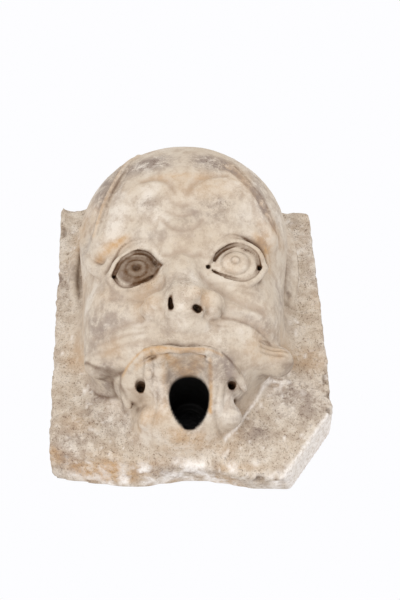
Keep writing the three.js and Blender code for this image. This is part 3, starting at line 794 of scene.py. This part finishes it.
def weather(vertices, shut):
    """Where the stone is rough, stained, grey, dirty or freshly broken, and where shade is painted
    into its hollows, grooves, holes and water channel, from 0 to 1 at each vertex. The sawn back is even."""
    x, y, z = vertices.T
    flat = np.clip((SLAB_THICKNESS + 9 - z) / 9, 0, 1)
    lower = np.clip((-y - 60) / 60, 0, 1)
    looks = {name: np.zeros(len(x)) for name in LOOKS}
    looks["ochre"] += 0.5 * np.clip(noise(vertices, 55, 3) - 0.1, 0, 1)
    looks["grey"] += 0.06 * flat + 0.6 * np.clip(noise(vertices, 34, 5) + 0.3 * noise(vertices, 9, 6), 0, 1)
    looks["rough"] += 0.2 + 0.8 * flat + 0.3 * lower * np.clip(noise(vertices, 24, 7), 0, 1)
    for name, patches in (("ochre", OCHRE_STAINS), ("grey", GREY_PATCHES), ("rough", ROUGH_PATCHES)):
        for centre, radii, strength in patches:
            looks[name] += strength * spot(vertices, centre, radii)
    for name, points, width, strength, (low, high) in LINES:
        looks[name] += strength * along(vertices, points, width) * (z > low) * (z < high)
    front = z > FACE_FRONT
    # Painted shade along the grooves round each eye's lids and its iris and pupil rings.
    for eye, strength in ((LEFT_EYE, 0.9), (RIGHT_EYE, 0.6)):
        across, up, _ = eye["middle"]
        for edge, width, share in (("upper", 1.9, strength), ("lower", 1.7, 0.7 * strength)):
            line = [(across + dx, up + dy) for dx, dy, _ in eye[edge]]
            looks["hollow"] += share * along(vertices, line, width) * front
        away = np.hypot(x - across, y - up)
        for radius in (eye["iris"], 6):
            looks["hollow"] += 0.4 * np.exp(-(((away - radius) / 1.5) ** 2)) * front
    (across, up), (wide, high) = DARK_BALL
    ball = np.hypot((x - across) / wide, (y - up) / high)
    looks["hollow"] += np.clip((1.0 - ball) * 6, 0, 0.8) * front
    # Painted shade, with dirt and dust, where the surface is shut in: darker the deeper the hollow.
    shade_and_dirt_from_shut = [("hollow", SHADE_AND_DIRT_GATHER, 1), ("dust", SHADE_AND_DUST_GATHER, 1 - 0.7 * flat)]
    for name, (start, speed), share in shade_and_dirt_from_shut:
        looks[name] += np.clip((shut - start) * speed, 0, 1) * share
    n = np.array(CORNER_NORMAL) / np.linalg.norm(CORNER_NORMAL)
    broken = np.abs((vertices - np.array(CORNER_BREAK)) @ n)
    foot = np.clip((-y - 212) / 10, 0, 1)
    ragged = 1.2 * noise(vertices, 15, 9) + 0.6 * noise(vertices, 5, 10)
    looks["fresh"] += np.clip(1.4 - broken / 3, 0, 1) * (y < -120)
    looks["fresh"] += foot * np.clip(0.3 + ragged, 0, 1)
    looks["fresh"] += np.clip((noise(vertices, 6, 8) - 0.55) * 4, 0, 1) * (0.1 + 0.6 * flat)
    # Painted shade: the inside of the water channel and of the pipe hole is painted near black.
    dy = y - CHANNEL_Y
    off_axis = np.hypot(x - CHANNEL_X, np.where(dy < 0, dy / THROAT_DROP, dy))
    bore = np.where(z > 4, CHANNEL_RADIUS + CHANNEL_SHADE_MARGIN, PIPE_RADIUS)
    looks["channel_shade"] += np.clip((bore - off_axis) / 2, 0, 1) * np.clip((CHANNEL_SHADE_BELOW - z) / 8, 0, 1)
    for name, value in looks.items():
        value[z < 1] = BACK_ROUGH if name == "rough" else 0
    return {name: np.clip(value, 0, 1) for name, value in looks.items()}


def roughen(vertices, rough):
    """How far each vertex stands out of the carved surface: worn flesh and a picked, pitted slab,
    and nothing at the sawn back."""
    worn = 0.45 * noise(vertices, 26, 21) + 0.3 * noise(vertices, 9, 22) + 0.2 * noise(vertices, 4.5, 23)
    picked = 1.3 * noise(vertices, 17, 24) + 0.9 * noise(vertices, 7.5, 25) + 0.8 * noise(vertices, 4.2, 26)
    from_back = np.clip(vertices[:, 2] / SAWN_BACK, 0, 1)
    return (worn * (1 - rough) + picked * rough) * from_back


def srgb(colour):
    """A colour of six hex digits as linear red, green, blue and alpha."""
    parts = [int(colour[i:i + 2], 16) / 255 for i in (0, 2, 4)]
    return tuple(c / 12.92 if c <= 0.04045 else ((c + 0.055) / 1.055) ** 2.4 for c in parts) + (1.0,)


def node(tree, kind, settings=None, links=None, **values):
    """Adds a node with its properties, its plain inputs and the outputs that feed its inputs."""
    made = tree.nodes.new(kind)
    for name, value in values.items():
        setattr(made, name, value)
    for name, value in (settings or {}).items():
        made.inputs[name].default_value = value
    for name, source in (links or {}).items():
        tree.links.new(source, made.inputs[name])
    return made


def weathered_marble(colours):
    """White marble cut with point and claw chisels and left outdoors: its skin has turned a warm
    ivory, ochre where water and iron ran, grey where lichen and dust hold in the rough slab."""
    material = bpy.data.materials.new("weathered_marble_chiselled")
    material.use_nodes = True
    tree = material.node_tree
    tree.nodes.clear()
    space = node(tree, "ShaderNodeTexCoord").outputs["Object"]
    grains = {}
    for name, size_mm, detail, roughness in GRAINS:
        settings = {"Scale": 1 / (size_mm * MM), "Detail": detail, "Roughness": roughness}
        grains[name] = node(tree, "ShaderNodeTexNoise", settings, {"Vector": space}).outputs["Fac"]
    painted = {name: node(tree, "ShaderNodeAttribute", attribute_name=name).outputs["Fac"]
               for name in LOOKS}
    colour = None
    for name, look, grain, low, high, least, most in LAYERS:
        settings = {"From Min": low, "From Max": high, "To Min": least, "To Max": most}
        share = node(tree, "ShaderNodeMapRange", settings, {"Value": grains[grain]}).outputs["Result"]
        if look:
            parts = {0: share, 1: painted[look]}
            share = node(tree, "ShaderNodeMath", None, parts, operation="MULTIPLY").outputs[0]
        below = {MIX_BELOW: colour} if colour else {}
        plain = {MIX_BELOW: srgb(colours["pale"]), MIX_ABOVE: srgb(colours[name])}
        layer = node(tree, "ShaderNodeMix", plain, {"Factor": share, **below}, data_type="RGBA")
        colour = layer.outputs[MIX_RESULT]
    normal = None
    for grain, depth_mm, strength in PITTING:
        settings = {"From Min": 0.0, "From Max": 1.0, "To Min": SMOOTH_SHARE * strength, "To Max": strength}
        amount = node(tree, "ShaderNodeMapRange", settings, {"Value": painted["rough"]}).outputs["Result"]
        under = {"Normal": normal} if normal else {}
        relief = node(tree, "ShaderNodeBump", {"Distance": depth_mm * MM},
                      {"Height": grains[grain], "Strength": amount, **under})
        normal = relief.outputs["Normal"]
    settings = {"From Min": 0.0, "From Max": 1.0, "To Min": ROUGHNESS_WORN, "To Max": ROUGHNESS_PICKED}
    dull = node(tree, "ShaderNodeMapRange", settings, {"Value": painted["rough"]}).outputs["Result"]
    shader = node(tree, "ShaderNodeBsdfPrincipled", {"IOR": MARBLE_IOR, "Specular IOR Level": MARBLE_SHEEN},
                  {"Base Color": colour, "Roughness": dull, "Normal": normal})
    node(tree, "ShaderNodeOutputMaterial", None, {"Surface": shader.outputs["BSDF"]})
    return material


def upright(vertices):
    """Relief millimetres as metres in the part's own frame, with the face looking along -Y."""
    return np.column_stack([vertices[:, 0], -vertices[:, 2], vertices[:, 1]]) * MM


def close_back(mesh):
    """The flat back as a few large faces, with a sharp rim."""
    bm = bmesh.new()
    bm.from_mesh(mesh)
    flat = [v for v in bm.verts if abs(v.co.y) < BACK_TOLERANCE]
    back = set(flat)
    for v in flat:
        v.co.y = 0
    bmesh.ops.delete(bm, geom=[f for f in bm.faces if all(v in back for v in f.verts)], context="FACES")
    rim = [e for e in bm.edges if e.is_boundary]
    bmesh.ops.triangle_fill(bm, use_beauty=True, edges=rim, normal=(0, 1, 0))
    for e in rim:
        e.smooth = False
    bmesh.ops.delete(bm, geom=[v for v in bm.verts if not v.link_faces], context="VERTS")
    bmesh.ops.recalc_face_normals(bm, faces=bm.faces)
    bm.to_mesh(mesh)
    bm.free()


def paint(mesh, name, values):
    """Keeps one look on the mesh, as a value from 0 to 1 at each vertex."""
    layer = mesh.attributes.new(name, "FLOAT", "POINT")
    layer.data.foreach_set("value", np.clip(values, 0, 1).astype(np.float32))


class MaskSettings(bpy.types.PropertyGroup):
    detail: bpy.props.FloatProperty(
        name="Detail", description="Spacing of the carved surface over the face",
        default=2.1 * MM, min=0.001, unit="LENGTH")
    pale: bpy.props.StringProperty(name="Pale", description="Clean weathered marble", default="CFC3B2")
    warm: bpy.props.StringProperty(name="Warm", description="Marble gone ivory", default="C3B39E")
    # Besides its random mottling, the dun colour paints shade along the grooves, folds and hollows, with
    # the dust.
    dun: bpy.props.StringProperty(name="Dun", description="Darker mottling", default="AC9986")
    ochre: bpy.props.StringProperty(name="Ochre", description="Iron and water stains", default="BF986A")
    grey: bpy.props.StringProperty(name="Grey", description="Lichen and dust", default="94857A")
    # Painted shade as well as soil: this colour darkens the hollows, grooves, nostrils and drill holes.
    dirt_and_shade: bpy.props.StringProperty(name="Dirt", description="Soil in the hollows", default="56391F")
    fresh: bpy.props.StringProperty(name="Fresh", description="Newly broken stone", default="F0E9E0")
    # Painted shade: the near-black colour inside the water channel.
    channel_shade: bpy.props.StringProperty(name="Wet", description="Blackened water channel", default="040302")


class StageSettings(bpy.types.PropertyGroup):
    floor: bpy.props.StringProperty(name="Floor", description="Pale studio floor", default="E9E9EC")
    air: bpy.props.StringProperty(name="Air", description="Pale studio backdrop", default="FDFDFF")
    glow: bpy.props.FloatProperty(
        name="Glow", description="Brightness of the backdrop", default=1.0, min=0.0)
    drop: bpy.props.FloatProperty(
        name="Floor height", description="Height of the floor below the mask's origin",
        default=-1.35, unit="LENGTH")


class MASK_OT_carve(bpy.types.Operator):
    """Carve the head and its slab from one block of marble"""

    bl_idname = "fountain_mask.carve"
    bl_label = "Carve the marble"

    def execute(self, context):
        settings = context.scene.fountain_mask
        step = settings.detail / MM * 1
        stone = carve(step)
        vertices, quads = skin(stone)
        vertices = settle(stone, vertices)
        normals = surface_normals(stone, vertices)
        looks = weather(vertices, hollows(stone, vertices, normals))
        vertices = vertices + roughen(vertices, looks["rough"])[:, None] * normals
        mesh = bpy.data.meshes.new("carved_marble_mask")
        mesh.from_pydata(upright(vertices), [], quads.tolist())
        for name, values in looks.items():
            paint(mesh, name, values)
        close_back(mesh)
        mesh.shade_smooth()
        colours = {name: getattr(settings, name) for name in COLOUR_NAMES}
        mesh.materials.append(weathered_marble(colours))
        mask = bpy.data.objects.new("carved_marble_mask", mesh)
        context.scene.collection.objects.link(mask)
        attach(mask, "root")
        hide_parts(NODE)
        return {"FINISHED"}


class MASK_OT_stage(bpy.types.Operator):
    """Set up the pale floor, the soft light and the camera below the chin"""

    bl_idname = "fountain_mask.stage"
    bl_label = "Set up the studio"

    def execute(self, context):
        scene = context.scene
        settings = scene.fountain_stage
        floor_mesh = bpy.data.meshes.new("studio_floor")
        r = FLOOR_REACH
        z = settings.drop
        floor_mesh.from_pydata([(-r, -r, z), (r, -r, z), (r, r, z), (-r, r, z)], [], [(0, 1, 2, 3)])
        floor = bpy.data.objects.new("studio_floor", floor_mesh)
        # A sheet of matt paper, so the floor is even and has no sheen.
        material = bpy.data.materials.new("matt_paper_floor")
        material.use_nodes = True
        shader = material.node_tree.nodes["Principled BSDF"]
        shader.inputs["Base Color"].default_value = srgb(settings.floor)
        shader.inputs["Roughness"].default_value = PAPER_ROUGHNESS
        floor_mesh.materials.append(material)
        scene.collection.objects.link(floor)
        world = bpy.data.worlds.new("studio_air")
        world.use_nodes = True
        air = world.node_tree.nodes["Background"]
        air.inputs["Color"].default_value = srgb(settings.air)
        air.inputs["Strength"].default_value = settings.glow
        scene.world = world
        for name, place, size, power in SOFTBOXES:
            lamp = bpy.data.lights.new(name, "AREA")
            lamp.size = size
            lamp.energy = power
            holder = bpy.data.objects.new(name, lamp)
            holder.location = place
            holder.rotation_mode = "QUATERNION"
            holder.rotation_quaternion = (-Vector(place)).to_track_quat("-Z", "Y")
            scene.collection.objects.link(holder)
        camera = bpy.data.cameras.new("photo_camera")
        camera.sensor_width = CAMERA_SENSOR
        camera.lens = CAMERA_LENS
        holder = bpy.data.objects.new("photo_camera", camera)
        ahead = Vector(CAMERA_AHEAD).normalized()
        up = Vector(CAMERA_UP).normalized()
        right = ahead.cross(up)
        turn = Matrix((right, up, -ahead)).transposed().to_4x4()
        holder.matrix_world = Matrix.Translation(CAMERA_PLACE) @ turn
        scene.collection.objects.link(holder)
        scene.camera = holder
        scene.view_settings.view_transform = "Standard"
        return {"FINISHED"}


class MASK_PT_panel(bpy.types.Panel):
    """Lists the mask's steps in the sidebar"""

    bl_idname = "MASK_PT_panel"
    bl_label = "Fountain mask"
    bl_space_type = "VIEW_3D"
    bl_region_type = "UI"
    bl_category = "Fountain mask"

    def draw(self, context):
        layout = self.layout
        for name in ("detail",) + COLOUR_NAMES:
            layout.prop(context.scene.fountain_mask, name)
        layout.operator(MASK_OT_carve.bl_idname)
        for name in ("floor", "air", "glow", "drop"):
            layout.prop(context.scene.fountain_stage, name)
        layout.operator(MASK_OT_stage.bl_idname)


CLASSES = (MaskSettings, StageSettings, MASK_OT_carve, MASK_OT_stage, MASK_PT_panel)


def register():
    for cls in CLASSES:
        bpy.utils.register_class(cls)
    bpy.types.Scene.fountain_mask = bpy.props.PointerProperty(type=MaskSettings)
    bpy.types.Scene.fountain_stage = bpy.props.PointerProperty(type=StageSettings)


def unregister():
    del bpy.types.Scene.fountain_stage
    del bpy.types.Scene.fountain_mask
    for cls in reversed(CLASSES):
        bpy.utils.unregister_class(cls)


def main():
    register()
    bpy.ops.fountain_mask.carve()
    bpy.ops.fountain_mask.stage()


if __name__ == "__main__":
    main()
